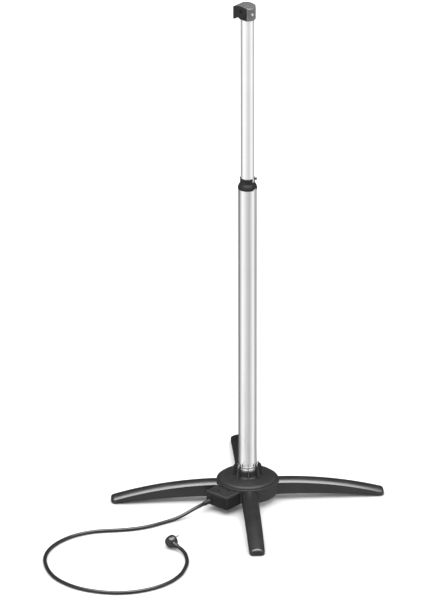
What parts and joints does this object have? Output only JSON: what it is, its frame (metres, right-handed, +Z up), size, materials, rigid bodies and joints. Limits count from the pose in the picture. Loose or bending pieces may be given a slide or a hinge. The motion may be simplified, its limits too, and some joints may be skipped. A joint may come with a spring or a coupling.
{
  "type": "telescopic floor stand",
  "caption": "Telescopic floor stand with arched legs on a round hub, a junction box with a mains lead, a sliding silver mast with a clamp collar and a tilting bracket for an appliance.",
  "frame": {"origin": "on the floor, on the mast's axis, midway between the leg tips", "axes": "+Z up along the mast, front leg along -Y, right leg along +X"},
  "size_m": [1.0183, 1.0248, 1.5529],
  "materials": {
    "hub_plastic": "fine grained moulded black",
    "satin_plastic": "satin moulded black",
    "leg_paint": "satin black powder coat",
    "mast_aluminium": "satin anodised, drawn along the tube",
    "bright_metal": "polished nickel",
    "zinc_steel": "zinc plated",
    "nylon": "natural nylon",
    "brass": "turned brass",
    "rubber": "black rubber",
    "plug_plastic": "moulded black"
  },
  "bodies": {
    "base": {"base_plate": "zinc_steel", "plate_screws": "zinc_steel", "hub_body": "hub_plastic", "hub_cover": "hub_plastic", "cover_screws": "zinc_steel", "leg_front": "leg_paint", "leg_right": "leg_paint", "leg_back": "leg_paint", "leg_left": "leg_paint", "leg_end_caps": "satin_plastic", "foot_pads": "rubber", "leg_bolts": "zinc_steel", "mast_plug": "nylon", "mast_bolt": "zinc_steel", "mast_washer": "zinc_steel", "socket_ring": "bright_metal", "lower_tube": "mast_aluminium", "guide_bush": "nylon", "clamp_collar": "hub_plastic", "collar_screws": "zinc_steel", "clamp_insert": "brass", "junction_box": "hub_plastic", "junction_lid": "satin_plastic", "lid_screws": "zinc_steel", "terminal_block": "nylon", "terminal_screws": "brass", "box_screws": "zinc_steel", "wire_grommet": "rubber", "cord_boot": "rubber", "mains_cord": "rubber", "plug_boot": "rubber", "plug_body": "plug_plastic", "plug_face": "plug_plastic", "plug_pins": "bright_metal", "earth_clips": "bright_metal"},
    "clamp_screw": {"clamp_screw": "satin_plastic"},
    "slider": {"slide_bush": "nylon"},
    "mast": {"upper_tube": "mast_aluminium", "foot_plug": "hub_plastic", "outlet_grommet": "rubber", "head_body": "satin_plastic", "head_rivets": "zinc_steel", "head_screw": "bright_metal"},
    "bracket": {"tilt_bracket": "hub_plastic", "pivot_bolt": "zinc_steel", "pivot_nut": "zinc_steel", "friction_washers": "nylon"}
  },
  "joints": [
    {"name": "mast_slide", "type": "slide", "parent": "base", "child": "slider", "axis": [0, 0, 1], "range_m": [-0.42, 0.2]},
    {"name": "mast_turn", "type": "hinge", "parent": "slider", "child": "mast", "pos_m": [0, 0, 0.664], "axis": [0, 0, 1], "range_deg": [-170, 170]},
    {"name": "head_tilt", "type": "hinge", "parent": "mast", "child": "bracket", "pos_m": [-0.00566, 0.00566, 1.535], "axis": [0.7071, 0.7071, 0], "range_deg": [0, 75]},
    {"name": "clamp_screw_turn", "type": "hinge", "parent": "base", "child": "clamp_screw", "pos_m": [0, 0, 1.012], "axis": [0.9903, 0.1392, 0], "range_deg": [0, 360]}
  ]
}
